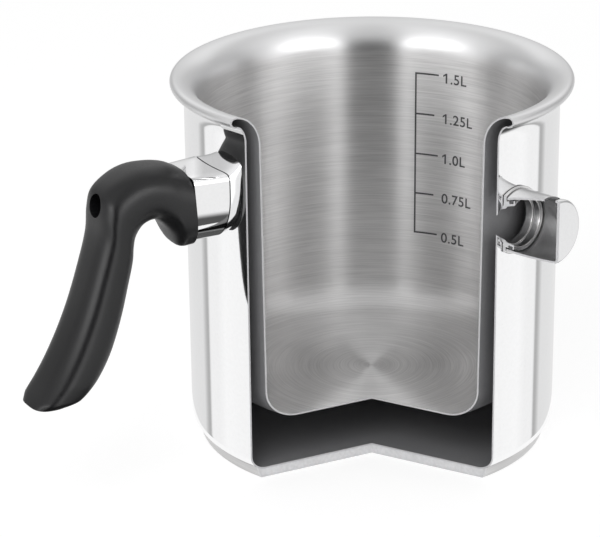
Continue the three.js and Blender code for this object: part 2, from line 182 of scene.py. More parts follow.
class BoilerSizes(bpy.types.PropertyGroup):
    """Sizes of the shell, the pot and the base."""

    wall_radius: length("Wall radius", 74.6, "Outside of the polished wall")
    shell_sheet: length("Shell sheet", 0.6, "Thickness of the outer wall")
    shell_corner: length("Shell corner", 6, "Radius between the outer wall and its floor")
    shell_flare_drop: length("Shell flare drop", 8.5, "How far the wall's flare starts below the rim's edge")
    rim_height: length("Rim height", RIM.z / MM, "Top of the rim above the table")
    rim_radius: length("Rim radius", RIM.x / MM, "Outside of the rim")
    rim_edge: length("Rim edge", 2.15, "Radius of the folded edge")
    pot_sheet: length("Pot sheet", 0.6, "Thickness of the inner pot")
    pot_corner: length("Pot corner", 12, "Radius between the inner wall and floor")
    pot_flare_drop: length("Pot flare drop", 12.5, "How far the pot's flare starts below the rim")
    jacket_top_gap: length("Jacket top gap", 4.8, "Water space beside the pot's mouth")
    jacket_foot_gap: length("Jacket foot gap", 5.7, "Water space beside the pot's foot")
    jacket_depth: length("Jacket depth", 19.8, "Water space under the pot")
    capsule_sheet: length("Capsule sheet", 0.6, "Thickness of the base's capsule")
    capsule_inset: length("Capsule inset", 2.2, "How far the capsule's rim stays inside the wall")
    capsule_lean: length("Capsule lean", 1.3, "How far the capsule's edge leans in at its foot")
    capsule_rim: length("Capsule rim", 5.2, "Height of the capsule's rim")
    capsule_corner: length("Capsule corner", 1, "Radius of the capsule's edge")
    core_thickness: length("Core thickness", 3, "Thickness of the aluminium disc")
    bond_gap: length("Bond gap", 0.05, "Gap that stands for a bond")
    fit_gap: length("Fit gap", 0.3, "Gap between pieces that are welded or pushed together")
    wedge_middle: angle("Wedge middle", 237.6, "Direction that the cutaway faces")
    wedge_half: angle("Wedge half angle", 62.6, "Half of the angle of the cutaway")
    spout_wedge_half: angle("Spout wedge half angle", 65, "Half of that angle in the neck and the cap")
    wedge_apex: length("Wedge apex", 32.4, "Distance of the cutaway's inner edge from the axis")


class SpoutSizes(bpy.types.PropertyGroup):
    """Sizes of the filler neck, its seal and the steam cap."""

    direction: angle("Direction", 284.9, "Direction of the neck")
    drop: length("Drop", 43.7, "Neck's axis below the rim")
    cap_radius: length("Cap radius", 12.7, "Outside of the cap")
    cap_sheet: length("Cap sheet", 0.8, "Thickness of the cap's wall")
    cap_length: length("Cap length", 20.2, "Length of the cap")
    cap_end: length("Cap end", 1, "Thickness of the cap's flat end")
    cap_edge: length("Cap edge", 1.2, "Radius of the cap's edge")
    slot_length: length("Slot length", 4.2, "Steam slot along the cap")
    slot_width: length("Slot width", 14, "Steam slot across the cap")
    slot_lip: length("Slot lip", 0.7, "Metal left between the slot and the end")
    flange_lip: length("Flange lip", 0.7, "How far the flange reaches past the cap")
    flange_stand: length("Flange stand-off", 1.1, "Face of the flange off the wall")
    neck_play: length("Neck play", 0.5, "Gap between neck and cap")
    neck_wall: length("Neck wall", 1.6, "Thickness of the neck's ring")
    neck_step: length("Neck step", 0.5, "Step from the ring's bore to the hole")
    neck_reach: length("Neck reach", 4.4, "Mouth of the neck off the wall")
    tail_wall: length("Tail wall", 0.9, "Thickness of the tail inside the jacket")
    tail_reach: length("Tail reach", 1.6, "Length of the tail inside the jacket")
    groove_depth: length("Groove depth", 0.9, "Depth of the seal's groove")
    groove_length: length("Groove length", 1.6, "Width of the seal's groove")
    groove_inset: length("Groove inset", 0.6, "Groove behind the neck's mouth")


class HandleSizes(bpy.types.PropertyGroup):
    """Sizes of the sleeve, the grip and its screw."""

    sleeve_drop: length("Sleeve drop", 25.1, "Sleeve's flat top below the rim")
    sleeve_height: length("Sleeve height", 28.6, "Height of the sleeve")
    sleeve_root: length("Sleeve root half width", 14.3, "Half width at the wall")
    sleeve_end: length("Sleeve end half width", 12.3, "Half width at the seam")
    sleeve_sheet: length("Sleeve sheet", 1.2, "Thickness of the sleeve")
    sleeve_top: length("Sleeve top length", 13, "Length of the sleeve's top")
    sleeve_under: length("Sleeve underside length", 10.8, "Length of the sleeve's underside")
    grip_rise: length("Grip rise", 5.3, "Grip's crown above the sleeve")
    grip_reach: length("Grip reach", 67.5, "Reach of the grip from the seam")
    grip_drop: length("Grip drop", 91, "Drop of the grip from its crown")
    grip_half_width: length("Grip half width", 13, "Half width of the grip's collar")
    nose_length: length("Nose length", 5, "Nose of the grip inside the sleeve")
    screw_drop: length("Screw drop", 7.2, "Screw's axis below the sleeve's top")
    screw_hole: length("Screw hole", 4.5, "Radius of the hole for the screwdriver")
    screw_seat: length("Screw seat", 11.9, "Bottom of that hole past the seam")
    shank: length("Shank", 1.9, "Radius of the screw's shank")
    head: length("Head", 3.7, "Radius of the screw's head")
    head_height: length("Head height", 2.9, "Height of the screw's head")
    washer: length("Washer", 3.9, "Radius of the washer")
    washer_thickness: length("Washer thickness", 1, "Thickness of the washer")
    stud: length("Stud", 4.6, "Radius of the welded stud")
    stud_foot: length("Stud foot", 5.4, "Radius of the stud's foot")
    stud_foot_thickness: length("Stud foot thickness", 1.2, "Thickness of the stud's foot")
    stud_bore: length("Stud bore", 3.2, "Depth of the stud's threaded bore")
    thread_pitch: length("Thread pitch", 0.7, "Pitch of the screw's thread")


class ScaleSizes(bpy.types.PropertyGroup):
    """Sizes of the volume scale on the inner wall."""

    direction: angle("Direction", 41.6, "Direction of the scale's upright line")
    top_drop: length("Top drop", 21.3, "Highest mark below the rim")
    spacing: length("Spacing", 17.88, "Distance between marks")
    long_tick: length("Long tick", 10.2, "Length of a main mark")
    short_tick: length("Short tick", 8.4, "Length of a mark between")
    line: length("Line width", 0.75, "Width of the lines")
    text_gap: length("Text gap", 12.2, "Distance from the upright line to the figures")
    text_size: length("Text size", 6.2, "Size of the figures")
    text_drop: length("Text drop", 1.2, "Middle of the figures below their mark")


class BoilerFinishes(bpy.types.PropertyGroup):
    """Colours of the finishes."""

    polished: colour("Polished steel", 0.93, 0.93, 0.935, "Mirror-polished stainless steel")
    brushed: colour("Brushed steel", 0.71, 0.705, 0.704, "Brushed stainless steel")
    # Lighter than the brushed wall: painted light on the pot's top flare, which is also really smoother.
    satin: colour("Satin steel", 0.77, 0.77, 0.775, "Smooth flare above the brushed wall")
    drawn: colour("Drawn steel", 0.79, 0.79, 0.795, "Plainly polished steel of the cap")
    drawn_inside: colour("Drawn steel inside", 0.5, 0.5, 0.505, "Bare drawn steel inside the cap")
    dull: colour("Dull steel", 0.32, 0.32, 0.33, "Unpolished inside of the sheets")
    cut: colour("Cut steel", 0.5, 0.5, 0.51, "Sheets where they are cut")
    aluminium: colour("Aluminium", 0.6, 0.6, 0.61, "Disc in the base")
    plastic: colour("Black plastic", 0.006, 0.006, 0.0068, "Heat-proof grip")
    silicone: colour("Silicone", 0.1, 0.1, 0.105, "Seal")
    ink: colour("Scale ink", 0.06, 0.06, 0.063, "Etched volume scale")


class StudioSettings(bpy.types.PropertyGroup):
    """Camera and light."""

    camera_turn: angle("Camera turn", -32.5, "Direction the camera looks in, from straight along Y")
    camera_pitch: angle("Camera pitch", 21.65, "How far the camera looks down")
    camera_aside: angle("Camera aside", 1.6185, "Last turn of the camera towards the handle")
    camera_reach: length("Camera reach", 961, "Camera's level distance from the axis")
    camera_height: length("Camera height", 449, "Camera's height above the table")
    lens: FloatProperty(name="Lens", description="Focal length", default=152.04, unit="CAMERA")
    floor: colour("Floor", 0.93, 0.93, 0.93, "Floor")
    floor_glow: FloatProperty(name="Floor glow", description="Share of the floor that stays white in shadow",
                              default=0.6, min=0, max=1)
    glow_strength: FloatProperty(name="Glow strength", description="Brightness of that share", default=1.26)
    room_light: FloatProperty(name="Room light", description="Strength of the even light", default=0.72)
    key_light: FloatProperty(name="Key light", description="Power of the large lamp, in watts", default=5)


def clear_selection():
    """Leaves nothing selected, in object mode."""
    if bpy.context.mode != "OBJECT":
        bpy.ops.object.mode_set(mode="OBJECT")
    bpy.ops.object.select_all(action="DESELECT")


def select_only(piece):
    """Makes one object the only selected and the active one."""
    clear_selection()
    piece.select_set(True)
    bpy.context.view_layer.objects.active = piece


def apply_transform():
    """Writes the selected object's place, turn and size into its mesh."""
    bpy.ops.object.transform_apply(location=True, rotation=True, scale=True)


def extrude(move):
    """Extrudes what is selected by a vector."""
    bpy.ops.mesh.extrude_region_move(TRANSFORM_OT_translate={"value": move})


def draw_line(points):
    """Draws a row of points as edges in a new object, and leaves them selected in edit mode."""
    clear_selection()
    bpy.ops.mesh.primitive_plane_add(size=MM, location=ORIGIN)
    bpy.ops.object.mode_set(mode="EDIT")
    bpy.ops.mesh.select_all(action="SELECT")
    bpy.ops.mesh.merge(type="CENTER")
    bpy.ops.transform.translate(value=points[0])
    for start, end in zip(points, points[1:]):
        extrude(end - start)
    bpy.ops.mesh.select_all(action="SELECT")


def close_mesh():
    """Merges doubles and turns the faces outwards, then leaves edit mode and returns the object."""
    bpy.ops.mesh.select_all(action="SELECT")
    bpy.ops.mesh.remove_doubles(threshold=WELD)
    bpy.ops.mesh.normals_make_consistent(inside=False)
    bpy.ops.object.mode_set(mode="OBJECT")
    return bpy.context.object


def draw_face(points):
    """Draws a closed outline, fills it and leaves the face selected in edit mode."""
    draw_line(list(points) + [points[0]])
    bpy.ops.mesh.remove_doubles(threshold=WELD)
    bpy.ops.mesh.select_all(action="SELECT")
    bpy.ops.mesh.edge_face_add()


def turned(profile, steps=WALL_STEPS, foot=ORIGIN, axis=UP, out=ALONG_X):
    """Spins a profile of (radius, place along the axis) pairs about an axis."""
    draw_line([foot + out * radius + axis * place for radius, place in profile])
    bpy.ops.mesh.spin(steps=steps, angle=2 * pi, center=foot, axis=axis)
    return close_mesh()


def rod(radius, start, end, *turning):
    """Solid rod between two places on an axis."""
    return turned([(0, start), (radius, start), (radius, end), (0, end)], *turning)


def block(size):
    """Box about the origin."""
    clear_selection()
    bpy.ops.mesh.primitive_cube_add(size=1, location=ORIGIN)
    bpy.ops.transform.resize(value=size)
    apply_transform()
    return bpy.context.object


def arc(centre, radius, start, end, steps, rise=None):
    """Points of an arc as (radius, place) pairs, or of an ellipse where the rise differs."""
    points = []
    for step in range(steps + 1):
        turn = radians(start + (end - start) * step / steps)
        up = radius if rise is None else rise
        points.append((centre[0] + radius * cos(turn), centre[1] + up * sin(turn)))
    return points


def level_direction(turn):
    """Level unit vector at an angle from the X axis."""
    return Vector((cos(turn), sin(turn), 0))


def change(piece, kind, **settings):
    """Adds a modifier to a piece and applies it."""
    modifier = piece.modifiers.new(kind.title(), kind)
    for key, value in settings.items():
        setattr(modifier, key, value)
    select_only(piece)
    bpy.ops.object.modifier_apply(modifier=modifier.name)


def combine(piece, tool, operation="DIFFERENCE"):
    """Cuts or joins a piece with another object, which is then removed."""
    change(piece, "BOOLEAN", object=tool, operation=operation, solver="EXACT")
    bpy.data.objects.remove(tool)


def cut_wall(piece, sizes):
    """Cuts the round of the outer wall, with its fit gap, out of a piece that stands on it."""
    combine(piece, rod(sizes.wall_radius + sizes.fit_gap, 0, sizes.rim_height))


def cut_wedge(piece, sizes, cut_finish, half):
    """Cuts the display wedge out of a piece and gives the cut faces their own finish."""
    apex = level_direction(sizes.wedge_middle) * sizes.wedge_apex
    arms = [level_direction(sizes.wedge_middle + side * half) for side in (-1, 1)]
    reach = 3 * sizes.rim_radius
    clear = 5 * MM
    draw_face([point - UP * clear for point in (apex, apex + arms[0] * reach, apex + arms[1] * reach)])
    extrude(UP * (sizes.rim_height + 2 * clear))
    combine(piece, close_mesh())
    piece.data.materials.append(finish(cut_finish))
    cut_slot = len(piece.data.materials) - 1
    for arm in arms:
        normal = arm.cross(UP)
        for face in piece.data.polygons:
            parallel = abs(face.normal.dot(normal)) > 0.9999
            if parallel and abs((face.center - apex).dot(normal)) < 0.01 * MM:
                face.material_index = cut_slot


def give_finish(piece, outside, inside=None, is_inside=None):
    """Gives a piece its finish, and another to the faces that is_inside picks by middle and normal."""
    piece.data.materials.clear()
    piece.data.materials.append(finish(outside))
    if inside:
        piece.data.materials.append(finish(inside))
        for face in piece.data.polygons:
            if is_inside(face.center, face.normal):
                face.material_index = 1


def finish_piece(piece, name, body, replaced, flat_edge=FLAT_EDGE):
    """Names a piece, smooths it, and ties it to the frame."""
    select_only(piece)
    apply_transform()
    bpy.ops.object.shade_smooth_by_angle(angle=radians(flat_edge))
    piece.name = name
    piece.data.name = name
    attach(piece, body)
    if replaced:
        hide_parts(replaced)
    return piece


def wire(tree, node, inputs):
    """Sets a node's inputs, each to a plain value or to another node's output."""
    for key, value in inputs.items():
        if isinstance(value, bpy.types.NodeSocket):
            tree.links.new(value, node.inputs[key])
        else:
            node.inputs[key].default_value = value


def new_node(tree, kind, inputs=None, **settings):
    """Adds a node with settings and inputs to a tree, beside the last one."""
    node = tree.nodes.new(kind if kind.startswith("NodeGroup") else "ShaderNode" + kind)
    node.location.x = 200 * len(tree.nodes)
    for key, value in settings.items():
        setattr(node, key, value)
    wire(tree, node, inputs or {})
    return node


def maths(tree, operation, *values):
    """Output of a maths node on sockets or numbers."""
    return new_node(tree, "Math", dict(enumerate(values)), operation=operation).outputs[0]


def map_range(tree, value, start, end, low=0, high=1, curve="SMOOTHSTEP"):
    """Output that runs from low to high while a value runs from start to end."""
    inputs = {"Value": value, "From Min": start, "From Max": end, "To Min": low, "To Max": high}
    return new_node(tree, "MapRange", inputs, interpolation_type=curve).outputs[0]


def mix_colours(tree, share, first, second):
    """Output between two colours."""
    return new_node(tree, "Mix", {0: share, 6: first, 7: second}, data_type="RGBA").outputs[2]


def mix_shaders(tree, share, first, second):
    """Output between two shader nodes."""
    return new_node(tree, "MixShader", {0: share, 1: first, 2: second}).outputs[0]


def noise(tree, vector, scale, detail):
    """Factor of a noise texture."""
    return new_node(tree, "TexNoise", {"Vector": vector, "Scale": scale, "Detail": detail}).outputs["Fac"]


def brush_lines(tree, place, fineness):
    """Brush lines round the pot's axis: their mask, a cloud and the bump's distance."""
    parts = new_node(tree, "SeparateXYZ", {0: place}).outputs
    flat = new_node(tree, "CombineXYZ", {0: parts[0], 1: parts[1]}).outputs[0]
    reach = new_node(tree, "VectorMath", {0: flat}, operation="LENGTH").outputs["Value"]
    path = maths(tree, "MULTIPLY", maths(tree, "ADD", parts[2], reach), fineness)
    mask = 0
    for across, along, weight in BRUSH_LAYERS:
        scaled = {0: maths(tree, "MULTIPLY", parts[0], across), 1: maths(tree, "MULTIPLY", parts[1], across),
                  2: maths(tree, "MULTIPLY", path, along)}
        lines = noise(tree, new_node(tree, "CombineXYZ", scaled).outputs[0], 1, 2)
        mask = maths(tree, "MULTIPLY_ADD", lines, weight, mask)
    return mask, noise(tree, place, 22, 3), BRUSH_BUMP


def fine_grain(tree, place, fineness):
    """Fine even grain: its mask, a cloud and the bump's distance."""
    mask = noise(tree, place, maths(tree, "MULTIPLY", fineness, GRAIN_SCALE), 3)
    return mask, noise(tree, place, 35, 4), GRAIN_BUMP


def pattern_group(pattern):
    """Node group of a surface's pattern, built once: masks for roughness and colour, and a bump."""
    if pattern in bpy.data.node_groups:
        return bpy.data.node_groups[pattern]
    group = bpy.data.node_groups.new(pattern, "ShaderNodeTree")
    for name, in_out, kind in (("Fineness", "INPUT", "Float"), ("Depth", "INPUT", "Float"),
                               ("Mask", "OUTPUT", "Float"), ("Cloud", "OUTPUT", "Float"),
                               ("Normal", "OUTPUT", "Vector")):
        group.interface.new_socket(name, in_out=in_out, socket_type="NodeSocket" + kind)
    fineness, depth = new_node(group, "NodeGroupInput").outputs[:2]
    place = new_node(group, "TexCoord").outputs["Object"]
    mask, cloud, distance = PATTERNS[pattern](group, place, fineness)
    bump = new_node(group, "Bump", {"Distance": distance, "Strength": depth, "Height": mask}).outputs[0]
    new_node(group, "NodeGroupOutput", {"Mask": mask, "Cloud": cloud, "Normal": bump})
    return group


PATTERNS = {"brush": brush_lines, "grain": fine_grain}


def finish(name):
    """Material of a finish, built once: its pattern drives roughness, shade and bump."""
    if name in bpy.data.materials:
        return bpy.data.materials[name]
    look = FINISHES[name]
    tint = getattr(bpy.context.scene.boiler_finishes, look.tint)
    material = bpy.data.materials.new(name)
    material.use_nodes = True
    material.diffuse_color = tint
    tree = material.node_tree
    shader = tree.nodes["Principled BSDF"]
    detail = new_node(tree, "Group", {"Fineness": look.fineness, "Depth": look.depth},
                      node_tree=pattern_group(look.pattern))
    mask, cloud, normal = detail.outputs
    rough = map_range(tree, mask, *MASK_SPREAD, look.rough - look.rough_range,
                      look.rough + look.rough_range, "LINEAR")
    shade = maths(tree, "ADD", maths(tree, "MULTIPLY", mask, MASK_SHARE),
                  maths(tree, "MULTIPLY", cloud, CLOUD_SHARE))
    dark, light = [[min(1, channel * (1 + side * look.tint_range)) for channel in tint[:3]] + [1]
                   for side in (-1, 1)]
    shade = mix_colours(tree, map_range(tree, shade, *TINT_SPREAD, curve="LINEAR"), dark, light)
    inputs = {"Base Color": shade, "Roughness": rough, "Normal": normal, **look.sockets}
    if look.rings:
        inputs.update(ring_highlights(tree, shade, rough))
    wire(tree, shader, inputs)
    return material


def ring_highlights(tree, shade, rough):
    """Shader inputs for highlights across lines that run round the pot, with a smoother flare above them
    whose lighter colour is painted light.
    """
    sizes = bpy.context.scene.boiler_sizes
    parts = new_node(tree, "SeparateXYZ", {0: new_node(tree, "TexCoord").outputs["Object"]}).outputs
    tangent = new_node(tree, "CombineXYZ", {0: maths(tree, "MULTIPLY", parts[1], -1), 1: parts[0]})
    flare = sizes.rim_height - sizes.pot_flare_drop
    above = map_range(tree, parts[2], flare - 3 * MM, flare + 4 * MM)
    satin_roughness, brushed_stretch, satin_stretch = 0.34, 0.92, 0.7
    return {
        "Tangent": tangent.outputs[0],
        # The flare's lighter colour is painted light; its lower roughness is real.
        "Base Color": mix_colours(tree, above, shade, bpy.context.scene.boiler_finishes.satin),
        "Roughness": new_node(tree, "Mix", {0: above, 2: rough, 3: satin_roughness}).outputs[0],
        "Anisotropic": map_range(tree, above, 0, 1, brushed_stretch, satin_stretch, "LINEAR"),
    }


def looks_in(centre, normal):
    """Whether a face of the shell or the pot looks inwards or up, and not outwards or down."""
    return centre.x * normal.x + centre.y * normal.y < normal.z * centre.xy.length


def shell_floor(sizes):
    """Height of the shell's floor, on the capsule and its disc."""
    return sizes.capsule_sheet + sizes.core_thickness + 2 * sizes.bond_gap


def spout_frame(sizes, spout):
    """Foot, axis and outward direction in which the neck and the cap are turned."""
    return UP * (sizes.rim_height - spout.drop), level_direction(spout.direction), UP


def neck_radii(spout):
    """Radii of the cap's inside, the neck's ring, the ring's bore and the neck's own bore."""
    cap_inside = spout.cap_radius - spout.cap_sheet
    ring = cap_inside - spout.neck_play
    ring_bore = ring - spout.neck_wall
    return cap_inside, ring, ring_bore, ring_bore - spout.neck_step


class BOILER_OT_outer_shell(bpy.types.Operator):
    """Models the polished outer wall with its floor and flare"""

    bl_idname = "boiler.outer_shell"
    bl_label = "Outer Shell"

    def execute(self, context):
        sizes = context.scene.boiler_sizes
        spout = context.scene.spout_sizes
        sheet = sizes.shell_sheet
        under = shell_floor(sizes)
        wall = sizes.wall_radius
        corner = (wall - sizes.shell_corner, under + sizes.shell_corner)
        flare = (sizes.rim_radius - sizes.rim_edge - sizes.fit_gap,
                 sizes.rim_height - sizes.rim_edge - sizes.shell_flare_drop)
        across = flare[0] - wall
        rise = sizes.shell_flare_drop - sizes.rim_edge
        shell = turned([
            (0, under), (corner[0] - SUPPORT, under),
            *arc(corner, sizes.shell_corner, -90, 0, CORNER_STEPS),
            (wall, corner[1] + SUPPORT), (wall, flare[1] - SUPPORT),
            *arc(flare, -across, 0, 90, CORNER_STEPS, rise),
            *arc(flare, -across - sheet, 90, 0, CORNER_STEPS, rise + sheet),
            (wall - sheet, flare[1] - SUPPORT), (wall - sheet, corner[1] + SUPPORT),
            *arc(corner, sizes.shell_corner - sheet, 0, -90, CORNER_STEPS),
            (0, under + sheet),
        ])
        hole = neck_radii(spout)[3] + spout.tail_wall + sizes.fit_gap
        past_wall = 9 * MM
        combine(shell, rod(hole, wall - past_wall, wall + past_wall, HOLE_STEPS, *spout_frame(sizes, spout)))
        give_finish(shell, "mirror_steel", "dull_steel", looks_in)
        cut_wedge(shell, sizes, "cut_steel", sizes.wedge_half)
        finish_piece(shell, "outer_shell_polished", "pot", "outer_shell")
        return {"FINISHED"}


class BOILER_OT_inner_pot(bpy.types.Operator):
    """Models the brushed inner pot with its flare and folded edge"""

    bl_idname = "boiler.inner_pot"
    bl_label = "Inner Pot"

    def execute(self, context):
        sizes = context.scene.boiler_sizes
        sheet = sizes.pot_sheet
        cavity = sizes.wall_radius - sizes.shell_sheet
        mouth = cavity - sizes.jacket_top_gap - sheet
        foot = cavity - sizes.jacket_foot_gap - sheet
        floor = shell_floor(sizes) + sizes.shell_sheet + sizes.jacket_depth + sheet
        corner = (foot - sizes.pot_corner, floor + sizes.pot_corner)
        edge = (sizes.rim_radius - sizes.rim_edge, sizes.rim_height - sizes.rim_edge)
        flare = (edge[0], sizes.rim_height - sizes.pot_flare_drop)
        across = flare[0] - mouth
        pot = turned([
            (0, floor - sheet), (corner[0] - SUPPORT, floor - sheet),
            *arc(corner, sizes.pot_corner + sheet, -90, 0, CORNER_STEPS),
            *arc(flare, sheet - across, 0, 90, FLARE_STEPS, sizes.pot_flare_drop - sheet),
            *arc(edge, sizes.rim_edge - sheet, 90, -90, FOLD_STEPS)[1:],
            *arc(edge, sizes.rim_edge, -90, 90, CORNER_STEPS),
            *arc(flare, -across, 90, 0, FLARE_STEPS, sizes.pot_flare_drop)[1:],
            *arc(corner, sizes.pot_corner, 0, -90, CORNER_STEPS),
            (corner[0] - SUPPORT, floor), (0, floor),
        ])

        def in_jacket(centre, normal):
            return centre.xy.length < edge[0] and not looks_in(centre, normal)

        give_finish(pot, "ring_brushed_steel", "dull_steel", in_jacket)
        cut_wedge(pot, sizes, "cut_steel", sizes.wedge_half)
        finish_piece(pot, "inner_pot_brushed", "pot", "inner_pot")
        return {"FINISHED"}


class BOILER_OT_base(bpy.types.Operator):
    """Models the capsule under the pot and the disc inside it"""

    bl_idname = "boiler.base"
    bl_label = "Base"

    def execute(self, context):
        sizes = context.scene.boiler_sizes
        sheet = sizes.capsule_sheet
        rim = sizes.wall_radius - sizes.capsule_inset
        foot = rim - sizes.capsule_lean
        corner = (foot - sizes.capsule_corner, sizes.capsule_corner)
        inner = sizes.capsule_corner - sheet
        cap = turned([
            (0, 0), (corner[0] - sheet, 0),
            *arc(corner, sizes.capsule_corner, -90, 0, CAPSULE_STEPS),
            (rim, sizes.capsule_rim), (rim - sheet, sizes.capsule_rim),
            *arc(corner, inner, 0, -90, CAPSULE_STEPS),
            (0, sheet),
        ])
        inset = sheet + sizes.bond_gap
        core = turned([
            (0, inset), (foot - inset - inner, inset), (foot - inset, inset + inner),
            (rim - inset, sizes.capsule_rim), (0, sizes.capsule_rim),
        ])
        for piece, surface in ((cap, "ring_brushed_steel"), (core, "plain_aluminium")):
            combine(piece, self.shell_foot(sizes))
            give_finish(piece, surface)
            cut_wedge(piece, sizes, "plain_aluminium", sizes.wedge_half)
        finish_piece(cap, "base_cap_brushed", "pot", "base_cap")
        finish_piece(core, "base_core_disc", "pot", "base_core")
        return {"FINISHED"}

    def shell_foot(self, sizes):
        """Foot of the shell with the bond under it, which the base is fitted to."""
        under = sizes.capsule_sheet + sizes.core_thickness + sizes.bond_gap
        centre = (sizes.wall_radius - sizes.shell_corner, under + sizes.bond_gap + sizes.shell_corner)
        return turned([
            (0, under),
            *arc(centre, sizes.shell_corner + sizes.bond_gap, -90, 0, CORNER_STEPS),
            (0, centre[1]),
        ])


class BOILER_OT_spout(bpy.types.Operator):
    """Models the filler neck, its seal and the steam cap"""

    bl_idname = "boiler.spout"
    bl_label = "Spout"

    def execute(self, context):
        sizes = context.scene.boiler_sizes
        spout = context.scene.spout_sizes
        turning = (SPOUT_STEPS, *spout_frame(sizes, spout))
        cap_inside, ring, ring_bore, bore = neck_radii(spout)
        wall = sizes.wall_radius
        flange = spout.cap_radius + spout.flange_lip
        face = wall + spout.flange_stand
        mouth = wall + spout.neck_reach
        groove_end = mouth - spout.groove_inset
        groove_start = groove_end - spout.groove_length
        groove_floor = ring - spout.groove_depth
        soft = 0.25 * MM
        neck = turned([
            (bore, wall - BURIED), (flange, wall - BURIED), (flange, face - soft),
            *arc((flange - soft, face - soft), soft, 0, 90, SOFT_STEPS),
            (ring, face), (ring, groove_start), (groove_floor, groove_start),
            (groove_floor, groove_end), (ring, groove_end),
            *arc((ring - soft, mouth - soft), soft, 0, 90, SOFT_STEPS),
            *arc((ring_bore + soft, mouth - soft), soft, 90, 180, SOFT_STEPS),
            (ring_bore, face), (bore + soft, face),
            *arc((bore + soft, face - soft), soft, 90, 180, SOFT_STEPS),
            (bore, wall - BURIED),
        ], *turning)
        cut_wall(neck, sizes)
        tail_start = wall - sizes.shell_sheet - spout.tail_reach
        tail = bore + spout.tail_wall
        outline = [(bore, tail_start), (tail, tail_start), (tail, face - soft), (bore, face - soft)]
        combine(neck, turned(outline + outline[:1], *turning), "UNION")
        give_finish(neck, "satin_steel")
        cut_wedge(neck, sizes, "cut_steel", sizes.spout_wedge_half)
        finish_piece(neck, "filler_neck_satin", "pot", "filler_neck")
        thickness = (cap_inside - groove_floor) / 2 - sizes.bond_gap
        centre = ((cap_inside + groove_floor) / 2, groove_end - spout.groove_length / 2)
        seal = turned(arc(centre, thickness, 0, 360, SEAL_STEPS), *turning)
        give_finish(seal, "grey_silicone")
        cut_wedge(seal, sizes, "grey_silicone", sizes.spout_wedge_half)
        finish_piece(seal, "neck_seal_ring", "pot", "neck_seal")
        self.make_cap(sizes, spout, cap_inside, turning)
        return {"FINISHED"}

    def make_cap(self, sizes, spout, inside, turning):
        """Drawn cap with its flat end and steam slot."""
        foot, axis = turning[1:3]
        radius = spout.cap_radius
        start = sizes.wall_radius + spout.flange_stand + sizes.fit_gap
        end = start + spout.cap_length
        end_inside = end - spout.cap_end
        lip = 0.2 * MM
        soft = 0.6 * MM
        edge = (radius - spout.cap_edge, end - spout.cap_edge)
        beside_edge = 0.5 * MM
        cap = turned([
            (0, end_inside), (inside - soft, end_inside),
            *arc((inside - soft, end_inside - soft), soft, 90, 0, 6),
            (inside, start + lip),
            *arc((inside + lip, start + lip), lip, 180, 270, 4),
            *arc((radius - lip, start + lip), lip, -90, 0, 4),
            (radius, edge[1] - beside_edge),
            *arc(edge, spout.cap_edge, 0, 90, CAP_EDGE_STEPS),
            (edge[0] - beside_edge, end), (0, end),
        ], *turning)
        half = spout.slot_width / 2
        depth = radius - sqrt(inside * inside - half * half) + spout.slot_lip
        clear = 5 * MM
        slot = block((spout.slot_length, spout.slot_width, depth + clear))
        change(slot, "BEVEL", width=soft, segments=4)
        middle = end_inside - spout.slot_lip - spout.slot_length / 2
        slot.rotation_euler.z = spout.direction
        slot.location = foot + axis * middle + UP * (radius + (clear - depth) / 2)
        combine(cap, slot)

        def hollow(centre, normal):
            place = (centre - foot).dot(axis)
            return (centre - foot - axis * place).length < inside + lip and place < end_inside + lip

        give_finish(cap, "drawn_steel", "drawn_inside", hollow)
        cut_wedge(cap, sizes, "cut_steel", sizes.spout_wedge_half)
        finish_piece(cap, "steam_cap_polished", "steam_cap", "steam_cap")


def section(points, widest, top_power, under_power):
    """Soft-cornered section as (across, up) pairs between minus one and one, widest at a height."""
    ring = []
    for step in range(points):
        turn = 2 * pi * step / points
        end, power = (1, top_power) if step * 2 <= points else (-1, under_power)
        across = abs(cos(turn)) ** (2 / power) * (1 if cos(turn) >= 0 else -1)
        up = widest + (end - widest) * abs(sin(turn)) ** (2 / power)
        ring.append((across, up))
    return ring


def slope(before, here, after, gap_before, gap_after):
    """Slope of a smooth curve at the middle one of three points."""
    return ((here - before) / gap_before - (after - before) / (gap_before + gap_after)
            + (after - here) / gap_after)


def smooth_row(points, steps):
    """Evenly indexed points on a smooth curve through a row of (reach, height) pairs."""
    row = [Vector(point) for point in points]
    row = [2 * row[0] - row[1]] + row + [2 * row[-1] - row[-2]]
    smooth = []
    for step in range(steps + 1):
        place = step / steps * (len(points) - 1)
        at = min(int(place), len(points) - 2)
        part = place - at
        before, start, end, after = row[at:at + 4]
        gaps = [sqrt((b - a).length) for a, b in ((before, start), (start, end), (end, after))]
        leave = slope(before, start, end, gaps[0], gaps[1]) * gaps[1]
        reach = slope(start, end, after, gaps[1], gaps[2]) * gaps[1]
        smooth.append(start + leave * part + (3 * (end - start) - 2 * leave - reach) * part ** 2
                      + (2 * (start - end) + leave + reach) * part ** 3)
    return smooth


def handle_point(reach, height, across=0):
    """Point of the handle, by its distance from the pot's axis and its height."""
    return Vector((-reach, across, height))


def sleeve_top_height(sizes, handle):
    """Height of the sleeve's flat top."""
    return sizes.rim_height - handle.sleeve_drop


def seam_reach(sizes, handle, height):
    """Distance of the seam between sleeve and grip from the pot's axis."""
    part = (height - sleeve_top_height(sizes, handle) + handle.sleeve_height) / handle.sleeve_height
    return sizes.wall_radius + handle.sleeve_under + (handle.sleeve_top - handle.sleeve_under) * part


def screw_frame(sizes, handle):
    """Foot, axis and outward direction in which all that lies round the screw is turned."""
    return UP * (sleeve_top_height(sizes, handle) - handle.screw_drop), -ALONG_X, UP


